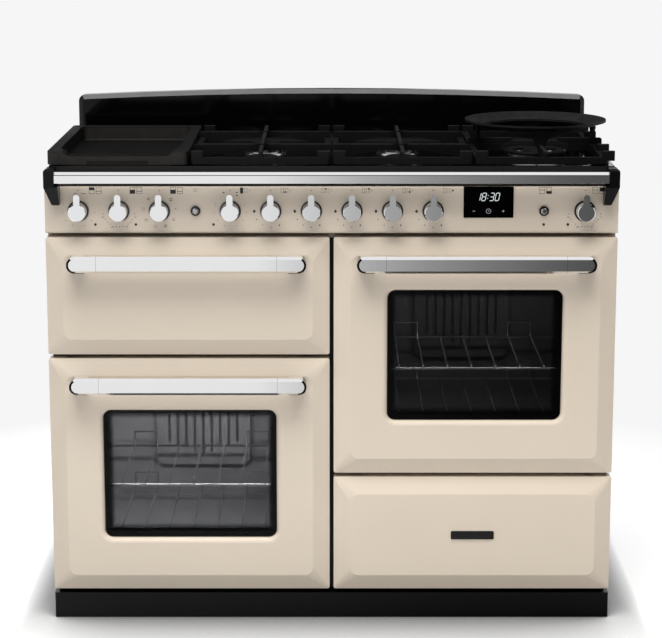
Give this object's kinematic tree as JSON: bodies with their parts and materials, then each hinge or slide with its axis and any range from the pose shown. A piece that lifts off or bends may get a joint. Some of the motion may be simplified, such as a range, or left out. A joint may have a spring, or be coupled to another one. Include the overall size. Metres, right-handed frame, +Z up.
{
  "type": "range cooker with double oven",
  "caption": "Free-standing dual-fuel range cooker with two drop-down oven doors, grill door, storage drawer, handrail, knobs and a gas hob with griddle and wok ring.",
  "frame": {"origin": "on the floor, in the middle of the object's whole width and depth", "axes": "+Z up, +X to the right seen from the front, the front faces -Y"},
  "size_m": [1.092, 0.65, 0.991],
  "materials": {
    "cream_enamel": "gloss",
    "black_enamel": "gloss",
    "frame_enamel": "satin",
    "cavity_enamel": "gloss",
    "liner_enamel": "gloss",
    "charcoal_paint": "satin",
    "side_paint": "satin",
    "zinc_steel": "satin",
    "chrome_trim": "polished",
    "knob_chrome": "satin",
    "bracket_black": "gloss",
    "badge_black": "gloss",
    "bezel_chrome": "satin",
    "lamp_red": "gloss",
    "display_black": "gloss",
    "door_glass": "clear",
    "cast_black": "matt",
    "burner_alloy": "satin",
    "cap_enamel": "satin",
    "zone_glass": "gloss",
    "seal_black": "matt",
    "element_grey": "satin",
    "gas_fittings": "satin",
    "box_plastic": "matt",
    "foot_plastic": "matt"
  },
  "bodies": {
    "cooker": {"control_panel": "cream_enamel", "hob_tray": "black_enamel", "splashback": "black_enamel", "front_frame": "frame_enamel", "base_frame": "frame_enamel", "left_oven_liner": "cavity_enamel", "right_oven_liner": "cavity_enamel", "grill_liner": "cavity_enamel", "fan_covers": "cavity_enamel", "grill_pan": "cavity_enamel", "plinth": "charcoal_paint", "side_panels": "side_paint", "rear_panel": "zinc_steel", "drawer_runners": "zinc_steel", "door_hinges": "zinc_steel", "handrail": "chrome_trim", "oven_racks": "chrome_trim", "rail_brackets": "bracket_black", "control_bezels": "bezel_chrome", "indicator_lamps": "lamp_red", "clock_display": "display_black", "burner_heads": "burner_alloy", "burner_caps": "cap_enamel", "griddle_zone": "zone_glass", "door_seals": "seal_black", "grill_element": "element_grey", "gas_rail": "gas_fittings", "electrical_boxes": "box_plastic", "levelling_feet": "foot_plastic"},
    "grill_door": {"grill_door_panel": "cream_enamel", "grill_door_liner": "liner_enamel", "grill_door_handle": "chrome_trim"},
    "left_door": {"left_door_panel": "cream_enamel", "left_door_liner": "liner_enamel", "left_door_glass": "door_glass", "left_door_handle": "chrome_trim"},
    "right_door": {"right_door_panel": "cream_enamel", "right_door_liner": "liner_enamel", "right_door_glass": "door_glass", "right_door_handle": "chrome_trim"},
    "drawer": {"drawer_front": "cream_enamel", "drawer_box": "zinc_steel", "drawer_badge": "badge_black"},
    "griddle": {"griddle": "cast_black"},
    "pan_support_left": {"pan_support_left": "cast_black"},
    "pan_support_right": {"pan_support_right": "cast_black"},
    "wok_support": {"wok_support": "cast_black"},
    "wok_cradle": {"wok_cradle": "cast_black"},
    "light_button": {"light_button": "chrome_trim"},
    "ignition_button": {"ignition_button": "chrome_trim"},
    "grill_knob": {"grill_knob": "knob_chrome"},
    "left_oven_knob": {"left_oven_knob": "knob_chrome"},
    "left_mode_knob": {"left_mode_knob": "knob_chrome"},
    "hotplate_knob": {"hotplate_knob": "knob_chrome"},
    "front_left_burner_knob": {"front_left_burner_knob": "knob_chrome"},
    "rear_left_burner_knob": {"rear_left_burner_knob": "knob_chrome"},
    "rear_right_burner_knob": {"rear_right_burner_knob": "knob_chrome"},
    "front_right_burner_knob": {"front_right_burner_knob": "knob_chrome"},
    "wok_burner_knob": {"wok_burner_knob": "knob_chrome"},
    "right_oven_knob": {"right_oven_knob": "knob_chrome"}
  },
  "joints": [
    {"name": "grill_door_hinge", "type": "hinge", "parent": "cooker", "child": "grill_door", "pos_m": [-0.275, -0.265, 0.5545], "axis": [1, 0, 0], "range_deg": [0, 90]},
    {"name": "left_door_hinge", "type": "hinge", "parent": "cooker", "child": "left_door", "pos_m": [-0.275, -0.265, 0.0815], "axis": [1, 0, 0], "range_deg": [0, 90]},
    {"name": "right_door_hinge", "type": "hinge", "parent": "cooker", "child": "right_door", "pos_m": [0.275, -0.265, 0.318], "axis": [1, 0, 0], "range_deg": [0, 90]},
    {"name": "drawer_slide", "type": "slide", "parent": "cooker", "child": "drawer", "axis": [0, -1, 0], "range_m": [0, 0.33]},
    {"name": "grill_knob_turn", "type": "hinge", "parent": "cooker", "child": "grill_knob", "pos_m": [-0.482, -0.285, 0.812], "axis": [0, -1, 0], "range_deg": [-270, 0]},
    {"name": "left_oven_knob_turn", "type": "hinge", "parent": "cooker", "child": "left_oven_knob", "pos_m": [-0.4048, -0.285, 0.812], "axis": [0, -1, 0], "range_deg": [-270, 0]},
    {"name": "left_mode_knob_turn", "type": "hinge", "parent": "cooker", "child": "left_mode_knob", "pos_m": [-0.3276, -0.285, 0.812], "axis": [0, -1, 0], "continuous": true},
    {"name": "hotplate_knob_turn", "type": "hinge", "parent": "cooker", "child": "hotplate_knob", "pos_m": [-0.193, -0.285, 0.812], "axis": [0, -1, 0], "range_deg": [-270, 0]},
    {"name": "front_left_burner_knob_turn", "type": "hinge", "parent": "cooker", "child": "front_left_burner_knob", "pos_m": [-0.1158, -0.285, 0.812], "axis": [0, -1, 0], "range_deg": [0, 210]},
    {"name": "rear_left_burner_knob_turn", "type": "hinge", "parent": "cooker", "child": "rear_left_burner_knob", "pos_m": [-0.0386, -0.285, 0.812], "axis": [0, -1, 0], "range_deg": [0, 210]},
    {"name": "rear_right_burner_knob_turn", "type": "hinge", "parent": "cooker", "child": "rear_right_burner_knob", "pos_m": [0.0386, -0.285, 0.812], "axis": [0, -1, 0], "range_deg": [0, 210]},
    {"name": "front_right_burner_knob_turn", "type": "hinge", "parent": "cooker", "child": "front_right_burner_knob", "pos_m": [0.1158, -0.285, 0.812], "axis": [0, -1, 0], "range_deg": [0, 210]},
    {"name": "wok_burner_knob_turn", "type": "hinge", "parent": "cooker", "child": "wok_burner_knob", "pos_m": [0.193, -0.285, 0.812], "axis": [0, -1, 0], "range_deg": [0, 210]},
    {"name": "right_oven_knob_turn", "type": "hinge", "parent": "cooker", "child": "right_oven_knob", "pos_m": [0.482, -0.285, 0.812], "axis": [0, -1, 0], "range_deg": [-270, 0]},
    {"name": "light_button_press", "type": "slide", "parent": "cooker", "child": "light_button", "axis": [0, 1, 0], "range_m": [0, 0.003], "stiffness_N_per_m": 700},
    {"name": "ignition_button_press", "type": "slide", "parent": "cooker", "child": "ignition_button", "axis": [0, 1, 0], "range_m": [0, 0.003], "stiffness_N_per_m": 700},
    {"name": "griddle_lift", "type": "slide", "parent": "cooker", "child": "griddle", "axis": [0, 0, 1], "range_m": [0, 0.05]},
    {"name": "pan_support_left_lift", "type": "slide", "parent": "cooker", "child": "pan_support_left", "axis": [0, 0, 1], "range_m": [0, 0.03]},
    {"name": "pan_support_right_lift", "type": "slide", "parent": "cooker", "child": "pan_support_right", "axis": [0, 0, 1], "range_m": [0, 0.03]},
    {"name": "wok_support_lift", "type": "slide", "parent": "cooker", "child": "wok_support", "axis": [0, 0, 1], "range_m": [0, 0.05]},
    {"name": "wok_cradle_lift", "type": "slide", "parent": "wok_support", "child": "wok_cradle", "axis": [0, 0, 1], "range_m": [0, 0.06]}
  ]
}
